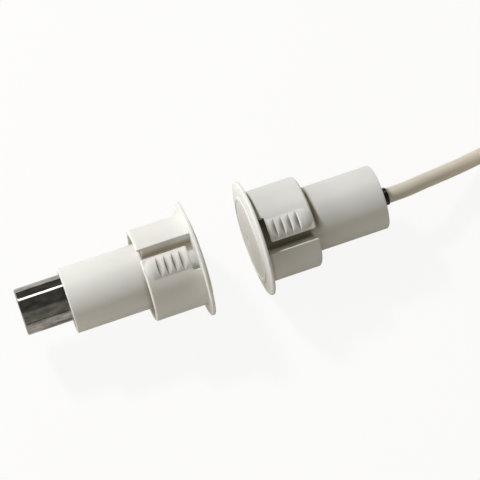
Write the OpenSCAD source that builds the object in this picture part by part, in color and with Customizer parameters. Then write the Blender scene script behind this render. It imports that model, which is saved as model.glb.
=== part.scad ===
// Recessed magnetic contact: a reed switch unit on a jacketed cable and its magnet unit.
// Both housings are one moulding: flange, hollow barrel and a split spring collar with teeth.
// X is the common axis, +Z is up, and the origin is where the axis meets the seat face of the
// switch unit's flange. Millimetres.

/* [Flange] */
// Diameter of the flange that stays outside the mounting hole
flange_d = 31.8; // [28:0.1:38.4]
// Thickness of the flange at its rim
flange_rim_t = 0.8; // [0.6:0.1:1.5]
// How far the domed front stands above the rim
flange_crown = 1.2; // [0.6:0.1:2.4]
// Radius of the rounded front edge of the rim
flange_edge_r = 0.35; // [0.1:0.05:0.5]
// Diameter of the raised ring on the front, at the middle of its width
ring_d = 23; // [16:0.5:25]
// Width of the raised ring
ring_w = 0.8; // [0.4:0.1:2]
// Height of the raised ring above the dome
ring_h = 0.2; // [0.1:0.05:0.4]

/* [Barrel] */
// Outer diameter of the barrel behind the collar
barrel_d = 17.8; // [16.8:0.1:21]
// Length of the barrel from the seat face to its open end
barrel_len = 35.2; // [30:0.1:45]
// Outer diameter of the barrel inside the collar
neck_d = 17.2; // [16.6:0.1:18]
// How far the neck stops inside the mouth of the collar
neck_step = 1.0; // [0.5:0.1:3]
// Chamfer on the outer edge of the barrel's open end
barrel_chamfer = 0.2; // [0.1:0.05:0.3]
// Diameter of the blind bore, which is open at the rear
bore_d = 15.2; // [14.4:0.1:15.8]
// Flare of the bore's mouth, as wide as it is deep
mouth_flare = 0.8; // [0.1:0.1:0.9]

/* [Spring collar] */
// Outer diameter of the split collar, a clearance fit in a 25.4 mm hole
collar_d = 25.2; // [23:0.1:29]
// Length of the collar from the seat face
collar_len = 14.6; // [12.6:0.1:18]
// Wall thickness of the collar's wings
wing_wall = 1.0; // [0.8:0.1:1.4]
// Chamfer on the leading outer edge of the wings
wing_lead = 0.4; // [0.1:0.1:0.7]
// Width of each of the two axial slots, in degrees
slot_angle = 14; // [8:1:20]
// Width of the web that joins each wing to the barrel, in degrees
web_angle = 22; // [10:1:30]
// Reach of the notch that frees each wing's toothed tongue from the flange, in degrees
notch_angle = 32; // [28:1:45]
// Width of that notch along the axis, which is the thickest sheet it takes
notch_len = 2.1; // [1:0.1:3]

/* [Teeth] */
// Number of teeth on each tongue, the nose included
tooth_count = 5; // [3:1:5]
// Distance from tooth to tooth
tooth_pitch = 2.1; // [1.8:0.05:2.5]
// Height of the tooth crests above the wing
tooth_rise = 0.6; // [0.3:0.05:0.8]
// Height of the valleys between the teeth above the wing
valley_rise = 0.05; // [0:0.05:0.2]
// Length of each tooth's slow side, which faces the insertion end
tooth_ramp = 1.15; // [0.5:0.05:1.3]
// Length of each tooth's steep side, which faces the flange
tooth_steep = 0.45; // [0.1:0.05:0.6]
// Radius of the round back that the teeth are cut from
pad_r = 4.8; // [4:0.1:6]
// Angle from the tongue's free edge to the middle of the teeth
pad_angle = 15; // [14:0.5:20]
// Distance from the leading edge of the wing to the tip of the nose
nose_back = 0.3; // [0.1:0.1:1]

/* [Pair] */
// Free distance between the two flanges' fronts at rest
rest_gap = 13.6; // [2:0.1:30]
// Clock angle of the switch unit's first free edge
switch_clock = 213; // [0:1:359]
// Clock angle of the magnet unit's first free edge
magnet_clock = 357; // [0:1:359]

/* [Magnet] */
// Diameter of the magnet rod
magnet_d = 12.7; // [12:0.1:13.2]
// How far the rod stands out of the barrel
magnet_out = 12.5; // [0:0.1:20]
// Chamfer on the rod's outer end
magnet_chamfer = 0.3; // [0.1:0.1:0.8]
// Film of adhesive left where the rod lies closest to the bore
film_t = 0.15; // [0.1:0.05:0.4]
// Clock angle of that closest line
rod_clock = 67; // [0:1:359]
// Depth from the barrel's open end down to the adhesive, which fills the flared mouth
adhesive_recess = 0.3; // [0.1:0.1:0.7]

/* [Reed switch] */
// Diameter of the glass capsule
glass_d = 2.3; // [2:0.1:3]
// Length of the glass capsule
glass_len = 14; // [13:0.5:16]
// Bore of the glass capsule
glass_bore_d = 1.7; // [1.5:0.1:1.9]
// Length of each glass seal
seal_len = 1.8; // [1.4:0.1:2.5]
// Depth from the seat face to the front end of the glass
glass_z = 4.5; // [4:0.1:6]
// Diameter of the round leads
lead_d = 0.5; // [0.4:0.05:0.6]
// Thickness of the flattened blades
blade_t = 0.22; // [0.15:0.01:0.3]
// Width of the flattened blades
blade_w = 1.2; // [0.8:0.1:1.3]
// Length over which the blades overlap
blade_lap = 1.2; // [0.8:0.1:2]
// Open contact gap between the blades
contact_gap = 0.12; // [0.08:0.01:0.2]
// Depth of the potting compound's surface below the barrel's open end
potting_recess = 1; // [0.5:0.5:3]

/* [Splices] */
// Outer diameter of the crimped ferrules
splice_d = 1.5; // [1.2:0.1:1.6]
// Length of the crimped ferrules
splice_len = 4; // [3:0.1:5]
// Distance from the glass to the first ferrule
splice_gap = 0.5; // [0.3:0.1:1]

/* [Cable] */
// Diameter of the cable's jacket
cable_d = 4.2; // [3.6:0.1:5]
// How far the cable leaves below the barrel's axis
cable_drop = 1.6; // [0:0.1:2]
// Length of jacket held below the potting compound's surface
cable_grip = 5.8; // [4:0.1:9]
// Wall of the collar of compound that has crept up the cable
neck_wall = 0.35; // [0.2:0.05:0.8]
// Length of that collar
neck_len = 3.8; // [1:0.1:5]
// Diameter of an insulated conductor
core_d = 1.4; // [1.2:0.1:1.8]
// Distance between the two conductors in the jacket
core_pitch = 1.6; // [1.5:0.1:2]
// Radius of the hank's end loops at the middle of the innermost turns
hank_r = 12.6; // [8.4:0.1:16]
// Length of the hank's straight sides
hank_run = 40; // [30:1:70]
// Turns beside each other in the hank
hank_columns = 2; // [1:1:3]
// Turns on top of each other in the hank
hank_layers = 6; // [3:1:7]
// Thickness of the two ties
tie_t = 0.6; // [0.4:0.1:1]
// Width of the two ties
tie_w = 3.6; // [2:0.2:8]
// Length of the insulated conductors at the free end
free_core_len = 12; // [6:1:20]
// Length of the bare copper at the free end
bare_len = 5; // [3:1:8]

/* [Hidden] */
$fn = 64;

switch_grey = [0.84, 0.84, 0.82];
magnet_white = [0.89, 0.89, 0.87];
jacket_beige = [0.80, 0.77, 0.71];
steel = [0.62, 0.62, 0.63];
copper = [0.80, 0.50, 0.33];

// amount by which joined shapes run into each other, and cutters run past what they cut
lap = 0.3;
past = 1;

// flange and barrel
flange_r = flange_d / 2;
front_t = flange_rim_t + flange_crown;
ring_side = ring_h;
dome_steps = 12;
barrel_r = barrel_d / 2;
neck_r = neck_d / 2;
neck_end = collar_len - neck_step;
bore_r = bore_d / 2;
rim_least = 0.1;
flare = min(mouth_flare, barrel_r - bore_r - barrel_chamfer - rim_least);
mouth_z = barrel_len - flare;

// collar, in (radius, depth) and degrees; a wing runs from its web to its free edge
collar_r = collar_d / 2;
wing_in_r = collar_r - wing_wall;
half_turn = 180;
wing_angle = half_turn - slot_angle;
web_end = neck_end - lap;
edge_slack = 2;
crest_r = collar_r + tooth_rise;
valley_r = collar_r + valley_rise;
pad_centre = crest_r - pad_r;
nose_drop = sqrt(pow(pad_r, 2) - pow(collar_r - pad_centre, 2));
nose_z = collar_len - nose_back - nose_drop;
groove_over = (past + crest_r - valley_r) / (crest_r - valley_r);
groove_sweep = 50;

// pair
magnet_seat_x = -(2 * front_t + rest_gap);
magnet_r = magnet_d / 2;
rod_off = bore_r - magnet_r - film_t;
rod_len = barrel_len + magnet_out;
adhesive_top = barrel_len - min(adhesive_recess, flare / 2);

// reed switch, depths counted from the seat face
glass_r = glass_d / 2;
glass_end = glass_z + glass_len;
front_root = glass_z + seal_len;
rear_root = glass_end - seal_len;
blade_len = (rear_root - front_root + blade_lap) / 2;
blade_off = (contact_gap + blade_t) / 2;
lead_r = lead_d / 2;
turn_r = core_pitch / 2;
turn_z = glass_z - turn_r;
potting_top = barrel_len - potting_recess;

// one ferrule behind the other, each holding a lead and a copper end that meet at its middle;
// the reed switch lies in line with one conductor, and its front lead returns to the other
rear_off = cable_drop - core_pitch / 2;
front_off = cable_drop + core_pitch / 2;
strip_gap = 0.4;
front_splice_z = glass_end + splice_gap;
front_joint_z = front_splice_z + splice_len / 2;
front_strip_z = front_splice_z + splice_len + strip_gap;
rear_splice_z = front_strip_z;
rear_joint_z = rear_splice_z + splice_len / 2;
rear_strip_z = rear_splice_z + splice_len + strip_gap;
jacket_end = max(potting_top - cable_grip, rear_strip_z + strip_gap);
grip_end = potting_top + neck_len;

// cable route: points from the potting's surface, as [along X, along Y, share of the fall]
cable_r = cable_d / 2;
lay_z = -flange_r;
hank_w = hank_columns * cable_d;
hank_h = hank_layers * cable_d;
hank_z = lay_z + tie_t;
hank_in_r = hank_r - cable_r;
hank_out_r = hank_in_r + hank_w;
turn_out_r = hank_out_r - cable_r;
exit_at = [grip_end, 0, -cable_drop];
fall = exit_at.z - (hank_z + cable_r);
// the near end loop's centre, beside which the cable enters on the outer turn's line
hank_x = 54;
enter_y = 8;
hank_at = [exit_at.x + hank_x, exit_at.y + enter_y - turn_out_r, hank_z];
// where a straight tangent of the outer turn clears the end loop
clear_s = sqrt(pow(hank_out_r, 2) - pow(turn_out_r - cable_r, 2)) + lap;
run_points = [
    [0, 0, 0], [6, 0.4, 0.06], [12, 1.6, 0.21], [18, 2.95, 0.41], [24, 4.45, 0.63],
    [30, 6, 0.82], [36, 7.4, 0.96]
];
run_steps = 2;
tube_sides = 10;
tie_at = [0.8, 0.5];

tail_clear = 0.05;

// The tail leaves the innermost turn into the hank's hollow and lies along it, as
// [along X, along Y] from the near end loop's centre
tail_y = hank_in_r - cable_r - tail_clear;
tail_points = [[15.5, tail_y], [19.5, tail_y - 1.75], [23.5, tail_y - 2.95]];
tail_end = [28, tail_y - 3.35];
tail_z = hank_z + cable_r;

// Curve through a route's points: a cubic through each four neighbours
function ahead(a, b, c, d, t) =
    0.5 * (2 * b + (c - a) * t + (2 * a - 5 * b + 4 * c - d) * t * t
    + (3 * b - a - 3 * c + d) * t * t * t);
function route_points() = concat(
    [for (p = run_points) [exit_at.x + p[0], exit_at.y + p[1], exit_at.z - fall * p[2]]],
    [[hank_at.x - clear_s, hank_at.y + turn_out_r, hank_z + cable_r]]
);
function tail_route() =
    [for (p = concat(tail_points, [tail_end])) [hank_at.x + p[0], hank_at.y + p[1], tail_z]];
function padded(p) = concat(
    [2 * p[0] - p[1]], p, [2 * p[len(p) - 1] - p[len(p) - 2]]
);
function smooth(q) = concat(
    [for (i = [1 : len(q) - 3]) for (k = [0 : run_steps - 1])
        ahead(q[i - 1], q[i], q[i + 1], q[i + 2], k / run_steps)],
    [q[len(q) - 2]]
);
function unit(v) = v / norm(v);
function heading(path, i, first) =
    i == 0 ? first : i == len(path) - 1 ? [1, 0, 0] : unit(path[i + 1] - path[i - 1]);
function ring_at(p, h, r, n) =
    let (side = unit(cross([0, 0, 1], h)), top = cross(h, side))
    [for (k = [0 : n - 1]) p + r * (cos(360 * k / n) * side + sin(360 * k / n) * top)];

// Domed front of the flange: a parabola over the rim, with the raised ring on it
function dome(r) = -(flange_rim_t + flange_crown * (1 - pow(r / flange_r, 2)));
ring_in = (ring_d - ring_w) / 2;
ring_out = (ring_d + ring_w) / 2;
edge_in = flange_r - flange_edge_r;
function dome_run(a, b) =
    [for (k = [0 : dome_steps]) let (r = a + (b - a) * k / dome_steps) [r, dome(r)]];

module flange() {
    rotate_extrude()
        polygon(concat(
            [[0, lap]],
            dome_run(0, ring_in - ring_side),
            [[ring_in, dome(ring_in) - ring_h], [ring_out, dome(ring_out) - ring_h]],
            dome_run(ring_out + ring_side, edge_in),
            [[flange_r, dome(edge_in) + flange_edge_r], [flange_r, 0], [neck_r - lap, 0],
            [neck_r - lap, lap]]
        ));
}

// Barrel wall: the neck inside the collar, then the full barrel to its open end
module barrel() {
    rotate_extrude()
        polygon([
            [0, -lap], [neck_r, -lap], [neck_r, neck_end], [barrel_r, neck_end + barrel_r - neck_r],
            [barrel_r, barrel_len - barrel_chamfer], [barrel_r - barrel_chamfer, barrel_len],
            [0, barrel_len]
        ]);
}

module bore() {
    rotate_extrude()
        polygon([
            [0, 0], [bore_r, 0], [bore_r, mouth_z],
            [bore_r + flare + past, barrel_len + past], [0, barrel_len + past]
        ]);
}

// One groove between two teeth, with its slow side towards the flange
module groove(z) {
    rotate([0, 0, -groove_sweep / 2])
        rotate_extrude(angle = groove_sweep)
            polygon([
                [valley_r, z],
                [valley_r + (crest_r - valley_r) * groove_over, z - tooth_ramp * groove_over],
                [valley_r + (crest_r - valley_r) * groove_over, z + tooth_steep * groove_over]
            ]);
}

// Row of ratchet teeth along +X: a round back with a domed nose, grooved across
module tooth_pad() {
    intersection() {
        difference() {
            union() {
                translate([pad_centre, 0, notch_len]) cylinder(r = pad_r, h = nose_z - notch_len);
                translate([pad_centre, 0, nose_z]) sphere(r = pad_r);
            }
            for (k = [1 : tooth_count - 1]) groove(notch_len + k * tooth_pitch);
        }
        difference() {
            translate([0, 0, notch_len]) cylinder(r = crest_r + past, h = collar_len - notch_len);
            cylinder(r = collar_r - wing_wall / 2, h = collar_len + past);
        }
    }
}

// One spring wing: a web up from the barrel, a thin shell, and the toothed tongue
module wing() {
    difference() {
        union() {
            rotate([0, 0, slot_angle])
                rotate_extrude(angle = wing_angle)
                    polygon([
                        [wing_in_r, -lap], [collar_r, -lap], [collar_r, collar_len - wing_lead],
                        [collar_r - wing_lead, collar_len], [wing_in_r, collar_len]
                    ]);
            rotate([0, 0, slot_angle])
                rotate_extrude(angle = web_angle)
                    polygon([
                        [neck_r - lap, -lap], [wing_in_r + wing_wall / 2, -lap],
                        [wing_in_r + wing_wall / 2, web_end], [neck_r - lap, web_end]
                    ]);
            rotate([0, 0, half_turn - pad_angle]) tooth_pad();
        }
        rotate([0, 0, half_turn - notch_angle])
            rotate_extrude(angle = notch_angle + edge_slack)
                polygon([
                    [wing_in_r - lap, -past], [crest_r + past, -past],
                    [crest_r + past, notch_len], [wing_in_r - lap, notch_len]
                ]);
    }
}

module housing(clock) {
    difference() {
        union() {
            flange();
            barrel();
            for (turn = [0, half_turn]) rotate([0, 0, clock + turn]) wing();
        }
        bore();
    }
}

// Unit frames: depth behind the seat face becomes +X for the switch and -X for the magnet
module at_switch() {
    rotate([0, 90, 0]) children();
}

module at_magnet() {
    translate([magnet_seat_x, 0, 0]) rotate([0, -90, 0]) children();
}

module switch_housing() {
    color(switch_grey) at_switch() housing(switch_clock);
}

module magnet_housing() {
    color(magnet_white) at_magnet() housing(magnet_clock);
}

// Magnet rod, lying against one side of the bore in its adhesive
module at_rod() {
    rotate([0, 0, rod_clock]) translate([rod_off, 0, 0]) children();
}

module magnet_rod() {
    color(steel) at_magnet() at_rod()
        rotate_extrude()
            polygon([
                [0, 0], [magnet_r, 0], [magnet_r, rod_len - magnet_chamfer],
                [magnet_r - magnet_chamfer, rod_len], [0, rod_len]
            ]);
}

module magnet_adhesive() {
    color("dimgray") at_magnet()
        difference() {
            rotate_extrude()
                polygon([
                    [0, 0], [bore_r, 0], [bore_r, mouth_z],
                    [bore_r + adhesive_top - mouth_z, adhesive_top], [0, adhesive_top]
                ]);
            at_rod() translate([0, 0, -past]) cylinder(r = magnet_r, h = adhesive_top + 2 * past);
        }
}

// Reed capsule: glass tube with round ends, a lead through each sealed end
module at_reed() {
    translate([rear_off, 0, 0]) children();
}

module glass_shape() {
    at_reed() translate([0, 0, glass_z + glass_r]) cylinder(r = glass_r, h = glass_len - glass_d);
    for (z = [glass_z + glass_r, glass_end - glass_r])
        at_reed() translate([0, 0, z]) sphere(r = glass_r);
}

module reed_glass() {
    color("palegreen") at_switch()
        difference() {
            glass_shape();
            at_reed() translate([0, 0, front_root])
                cylinder(d = glass_bore_d, h = rear_root - front_root);
            at_reed() translate([0, 0, glass_z - past]) cylinder(r = lead_r, h = glass_len + 2 * past);
        }
}

// Front lead: out of the glass, round a half turn and back beside it to its ferrule
module front_lead_shape() {
    at_reed() {
        translate([0, 0, turn_z]) cylinder(r = lead_r, h = front_root - turn_z);
        translate([turn_r, 0, turn_z])
            rotate([90, 0, 0])
                rotate([0, 0, half_turn])
                    rotate_extrude(angle = half_turn)
                        translate([turn_r, 0]) circle(r = lead_r);
        translate([core_pitch, 0, turn_z]) cylinder(r = lead_r, h = front_joint_z - turn_z);
    }
}

module rear_lead_shape() {
    at_reed() translate([0, 0, rear_root]) cylinder(r = lead_r, h = rear_joint_z - rear_root);
}

module reed_lead_front() {
    color(steel) at_switch() front_lead_shape();
}

module reed_lead_rear() {
    color(steel) at_switch() rear_lead_shape();
}

module blade(z, side) {
    at_reed() translate([side * blade_off - blade_t / 2, -blade_w / 2, z])
        cube([blade_t, blade_w, blade_len]);
}

module reed_blade_front() {
    color(steel) at_switch() blade(front_root, -1);
}

module reed_blade_rear() {
    color(steel) at_switch() blade(rear_root - blade_len, 1);
}

// Crimped ferrules that join the leads to the conductors
module splice_shape(off, z) {
    translate([off, 0, z]) cylinder(d = splice_d, h = splice_len);
}

module splice(off, z) {
    color("lightgray") at_switch()
        difference() {
            splice_shape(off, z);
            translate([off, 0, z - past]) cylinder(r = lead_r, h = splice_len + 2 * past);
        }
}

module splice_front() {
    splice(front_off, front_splice_z);
}

module splice_rear() {
    splice(rear_off, rear_splice_z);
}

// Insulated conductors from the cut jacket forward, each with a bare tip in its ferrule
module core_shape(off, joint_z, strip_z) {
    translate([off, 0, joint_z]) cylinder(r = lead_r, h = strip_z - joint_z);
    translate([off, 0, strip_z]) cylinder(d = core_d, h = jacket_end - strip_z);
}

module core_front() {
    color("firebrick") at_switch() core_shape(front_off, front_joint_z, front_strip_z);
}

module core_rear() {
    color("whitesmoke") at_switch() core_shape(rear_off, rear_joint_z, rear_strip_z);
}

module entry_shape() {
    translate([cable_drop, 0, jacket_end]) cylinder(r = cable_r, h = grip_end - jacket_end);
}

module cable_entry() {
    color(jacket_beige) at_switch() entry_shape();
}

// Potting compound that fills the barrel round everything above and creeps up the cable
module potting() {
    color("darkslategray") at_switch()
        difference() {
            union() {
                cylinder(r = bore_r, h = potting_top);
                translate([cable_drop, 0, potting_top - lap])
                    cylinder(r = cable_r + neck_wall, h = neck_len + lap);
            }
            glass_shape();
            front_lead_shape();
            rear_lead_shape();
            splice_shape(front_off, front_splice_z);
            splice_shape(rear_off, rear_splice_z);
            core_shape(front_off, front_joint_z, front_strip_z);
            core_shape(rear_off, rear_joint_z, rear_strip_z);
            translate([cable_drop, 0, jacket_end]) cylinder(r = cable_r, h = barrel_len);
        }
}

// Cable from the potting to the hank: one tube swept along the route
module swept(path, first) {
    n = tube_sides;
    last = len(path) - 1;
    points = [for (i = [0 : last]) each ring_at(path[i], heading(path, i, first), cable_r, n)];
    sides = [
        for (i = [0 : last - 1]) for (k = [0 : n - 1])
            [i * n + k, (i + 1) * n + k, (i + 1) * n + (k + 1) % n, i * n + (k + 1) % n]
    ];
    caps = [[for (k = [0 : n - 1]) k], [for (k = [n - 1 : -1 : 0]) last * n + k]];
    color(jacket_beige) polyhedron(points = points, faces = concat(sides, caps));
}

module cable_run() {
    swept(smooth(padded(route_points())), [1, 0, 0]);
}

// Rectangle with round corners, its lower left corner at the origin
module round_rect(w, h, r) {
    translate([r, 0]) square([w - 2 * r, h]);
    translate([0, r]) square([w, h - 2 * r]);
    for (x = [r, w - r]) for (y = [r, h - r]) translate([x, y]) circle(r = r);
}

// Section of the hank's side, as (distance from its middle line, height)
module hank_section(extra) {
    translate([hank_in_r - extra, -extra])
        round_rect(hank_w + 2 * extra, hank_h + 2 * extra, cable_r + extra);
}

module along_side(start) {
    translate([start, 0, 0]) rotate([90, 0, 90]) children();
}

// Wound cable: the outer shape of all its turns, two straight sides and two end loops
module cable_hank() {
    color(jacket_beige) translate(hank_at) {
        for (side = [0, 1])
            mirror([0, side, 0]) along_side(0) linear_extrude(hank_run) hank_section(0);
        rotate([0, 0, 90]) rotate_extrude(angle = half_turn) hank_section(0);
        translate([hank_run, 0, 0])
            rotate([0, 0, -90]) rotate_extrude(angle = half_turn) hank_section(0);
    }
}

module tie(share) {
    color("darkslategray") along_side(hank_run * share - tie_w / 2)
        linear_extrude(tie_w)
            difference() {
                hank_section(tie_t);
                hank_section(0);
            }
}

module hank_tie_a() {
    translate(hank_at) tie(tie_at[0]);
}

module hank_tie_b() {
    translate(hank_at) mirror([0, 1, 0]) tie(tie_at[1]);
}

// Free end: the cut jacket, two insulated conductors and their bare copper, lying along +X
module cable_tail() {
    path = smooth(padded(tail_route()));
    swept(path, unit(path[1] - path[0]));
}

module past_tail(side, start) {
    translate([hank_at.x + tail_end[0] + start, hank_at.y + tail_end[1], tail_z])
        translate([0, side * core_pitch / 2, 0]) rotate([0, 90, 0]) children();
}

module tail_core(side) {
    past_tail(side, 0) cylinder(d = core_d, h = free_core_len);
}

module tail_copper(side) {
    past_tail(side, free_core_len) cylinder(r = lead_r, h = bare_len);
}

module tail_core_a() {
    color("firebrick") tail_core(-1);
}

module tail_core_b() {
    color("whitesmoke") tail_core(1);
}

module tail_copper_a() {
    color(copper) tail_copper(-1);
}

module tail_copper_b() {
    color(copper) tail_copper(1);
}

switch_housing();
potting();
reed_glass();
reed_lead_front();
reed_lead_rear();
reed_blade_front();
reed_blade_rear();
splice_front();
splice_rear();
core_front();
core_rear();
cable_entry();
cable_run();
cable_hank();
hank_tie_a();
hank_tie_b();
cable_tail();
tail_core_a();
tail_core_b();
tail_copper_a();
tail_copper_b();
magnet_housing();
magnet_rod();
magnet_adhesive();
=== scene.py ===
import math

import bpy
import numpy as np
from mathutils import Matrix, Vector


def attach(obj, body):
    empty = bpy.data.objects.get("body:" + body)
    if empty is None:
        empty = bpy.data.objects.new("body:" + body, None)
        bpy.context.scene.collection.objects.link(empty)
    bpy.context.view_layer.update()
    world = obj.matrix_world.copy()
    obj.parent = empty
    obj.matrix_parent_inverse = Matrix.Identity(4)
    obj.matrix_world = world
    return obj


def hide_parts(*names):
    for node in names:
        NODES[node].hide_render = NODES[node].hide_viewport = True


bl_info = {
    "name": "Recessed magnetic contact",
    "version": (1, 0, 0),
    "blender": (4, 5, 0),
    "location": "View3D > Sidebar > Contact",
    "description": "A recessed magnetic contact pair with its cable, built round the packed frame",
    "category": "Object",
}

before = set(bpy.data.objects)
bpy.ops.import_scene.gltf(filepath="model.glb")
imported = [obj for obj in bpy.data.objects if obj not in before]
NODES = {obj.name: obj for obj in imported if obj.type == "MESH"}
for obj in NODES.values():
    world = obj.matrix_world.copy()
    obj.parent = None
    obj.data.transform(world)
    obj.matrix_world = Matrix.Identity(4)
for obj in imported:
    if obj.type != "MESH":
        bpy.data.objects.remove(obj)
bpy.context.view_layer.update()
MM = 0.001
TAU = 2 * math.pi

# Places that the cable shares with the part's source, in millimetres. A point of the run is x and
# y from the exit and its share of the fall. HANK_AT is the middle of the hank's near bend, at the
# level of its underside, and a point of the tail is x and y from there.
EXIT = (38.0, 0.0, -1.6)
FALL = 11.6
RUN_POINTS = (
    (0, 0, 0), (6, 0.4, 0.06), (12, 1.6, 0.21), (18, 2.95, 0.41), (24, 4.45, 0.63),
    (30, 6, 0.82), (36, 7.4, 0.96),
)
HANK_AT = (92.0, -8.8, -15.3)
HANK_STRAIGHT = 40.0
HANK_RADII = (16.8, 12.6)
HANK_LAYERS = 6
RUN_MEETS = 12.2
CABLE_D = 4.2
TAIL_POINTS = ((2, 12.6), (7, 11.7), (11.5, 10.1), (15.5, 8.35), (19.5, 6.6), (23.5, 5.4), (28, 5))
SURFACE_Z = -15.9

# Sizes that the housings and the rod share with the part's source, in millimetres and degrees;
# depths are counted from the seat face
FLANGE_R, RIM_T, CROWN = 15.9, 0.8, 1.2
RING_IN, RING_OUT, RING_H = 11.1, 11.9, 0.2
NECK_R, NECK_END, BARREL_R, BARREL_LEN, BORE_R, FLARE = 8.6, 13.6, 8.9, 35.2, 7.6, 0.8
COLLAR_R, COLLAR_LEN, WING_IN_R, WEB_END, LEAD = 12.6, 14.6, 11.6, 13.3, 0.4
SLOT_ANGLE, WEB_ANGLE, NOTCH_ANGLE, NOTCH_LEN = 14, 22, 32, 2.1
TOOTH_COUNT, TOOTH_PITCH, TOOTH_RAMP, TOOTH_STEEP = 5, 2.1, 1.15, 0.45
VALLEY_RISE, PAD_R, PAD_CENTRE, PAD_ANGLE, NOSE_Z = 0.05, 4.8, 8.4, 15, 11.937
SWITCH_CLOCK, MAGNET_CLOCK, MAGNET_SEAT_X = 213, 357, -17.6
ROD_R, ROD_LEN, ROD_OFF, ROD_CLOCK = 6.35, 47.7, 1.1, 67

# Finish of the shapes, in millimetres: how far a wing's root reaches into the flange and the neck,
# the roundings of its foot, of the teeth's root and of its leading edge, the height of a row of
# points above its web, and how much its very ends are drawn in. On the front, how far from the
# ring and from the rim the dome's points stop, and where the rim takes its level from the dome.
# Last, the chamfers of the barrel's mouth and of the rod.
SINK, FOOT_SWELL, ROOT_SOFT, LEAD_ROUND, WEB_ROW, END_DRAW = 0.3, 0.14, 0.1, 0.12, 0.3, 0.07
RING_FOOT, RIM_FOOT, RIM_LEVEL, MOUTH_CHAMFER, ROD_CHAMFER = 0.2, 0.45, 0.35, 0.2, 0.3

# Fineness of the surfaces: points round a turned piece, along a stretch of the dome, to a stretch
# of the cable and to a turn of the hank, the distance in millimetres within which points are one,
# and the angle in degrees from which an edge stays crisp
AROUND, DOME_POINTS, CURVE_STEPS, TURN_POINTS = 180, 9, 3, 64
MERGE, CRISP = 1e-4, 32

# Where in a turn the hank's cable starts to climb, to cross to the inner column and to sink, and
# how long each step lasts, as shares of the turn
STEP_UP, STEP_ACROSS, STEP_DOWN, STEP_LASTS = 0.77, 0.52, 0.27, 0.21

# Painted shade in the crevices and on the barrel past the wings, a painted shadow of the flange on
# the wings, and painted light on the front. Each pair is where it is none and where it is full, as
# a depth or radius in millimetres, or as the cosine of the angle to the side on which the painted
# shade past the wings falls. REACH_FADE is the length of that shade's fade along the barrel. The
# constant beside it is the least that is left of the flange's painted shadow away from that side,
# and the one below it is the gain of the front's colour, which is painted light.
SHADE_BEHIND, SHADE_WITHIN = (0.02, 0.06), (WEB_END + 0.6, WEB_END)
SHADE_UNDER, SHADE_FACING = (WING_IN_R - 0.5, NECK_R + 0.6), (0.35, 0.7)
NOTCH_DEPTH, NOTCH_FACING = (NOTCH_LEN + 0.1, NOTCH_LEN - 0.3), (0.05, 0.25)
FLANGE_SHADOW_DEPTH, FLANGE_SHADOW_RADIUS = (1.5, 0.9), (COLLAR_R + 0.5, COLLAR_R + 0.2)
FRONT_DEPTH = (-0.2, -0.6)
REACH_FADE, FLANGE_SHADOW_AWAY = 1.3, 0.45
FRONT_PAINTED_LIGHT = (1.12, 1.12, 1.12)

# Depth of a groove in millimetres at which its share of the painted shade on the teeth is full, and
# the angle in radians from its middle within which the whole toothed pad lies
GROOVE_FULL, PAD_WITHIN = 0.5, 0.7

# Textures, with scales for a place in metres. A wave texture of scale 1 passes WAVE_RATE radians
# a metre, a thread is 0.7 mm wide, and bumps are 0.2 mm deep.
WAVE_RATE, THREAD, BUMP_DEPTH = 20, 0.0007, 0.0002
BLOTCH_SCALE, COLOUR_DRIFT, ROUGHNESS_SWING = 90, 0.03, 0.2
STREAK_SCALE, CLOUD_SCALE, CLOUD_SPAN = (60, 2500, 2500), (350, 900, 900), (0.35, 0.65)
RING_SCALE, RING_SHARES = 450, (0.2, 0.45)

# How far from a rod's ground end, in millimetres, its turning rings start and are full
END_SPAN = (0.2, 0.05)

# Camera's target in millimetres, each lamp's direction from it, distance and width in metres, half
# the surface's width in metres and the share of its white glow, and the colours of the world
TARGET = (-3.99, 0.856, 0)
KEY_LAMP = ((-0.34, 0.613, 0.713), 0.6, 0.06)
LEFT_LAMP = ((-0.971, 0.06, 0.23), 0.7, 0.5)
FLOOR_HALF, FLOOR_GLOW = 3.0, 0.9
WHITE, WARM = (1, 1, 1, 1), (1, 0.94, 0.82, 1)

# Room that mirrors see. A band is a part of the unit direction looked in, where along it the band
# starts and where it is full, and its strength.
CEILING = 0.1
WALL = (("Y", (-0.45, -0.6), 0.16), ("Z", (0.03, 0.1), 1))
STRIP = (("Y", (0.57, 0.58), 4), ("Y", (0.72, 0.71), 1), ("Z", (0.1, 0.2), 1))


class ContactColours(bpy.types.PropertyGroup):
    """Colours of the object's finishes, in linear light"""

    magnet_white: bpy.props.FloatVectorProperty(
        name="Magnet unit", description="Moulded plastic of the magnet unit",
        default=(0.75, 0.745, 0.705), size=3, min=0, max=1, subtype="COLOR")
    switch_grey: bpy.props.FloatVectorProperty(
        name="Switch unit", description="Moulded plastic of the switch unit",
        default=(0.72, 0.72, 0.69), size=3, min=0, max=1, subtype="COLOR")
    jacket: bpy.props.FloatVectorProperty(
        name="Cable jacket", description="Beige jacket of the cable",
        default=(0.74, 0.69, 0.59), size=3, min=0, max=1, subtype="COLOR")
    magnet_metal: bpy.props.FloatVectorProperty(
        name="Magnet rod", description="Bright metal of the magnet rod",
        default=(0.48, 0.48, 0.465), size=3, min=0, max=1, subtype="COLOR")


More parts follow.
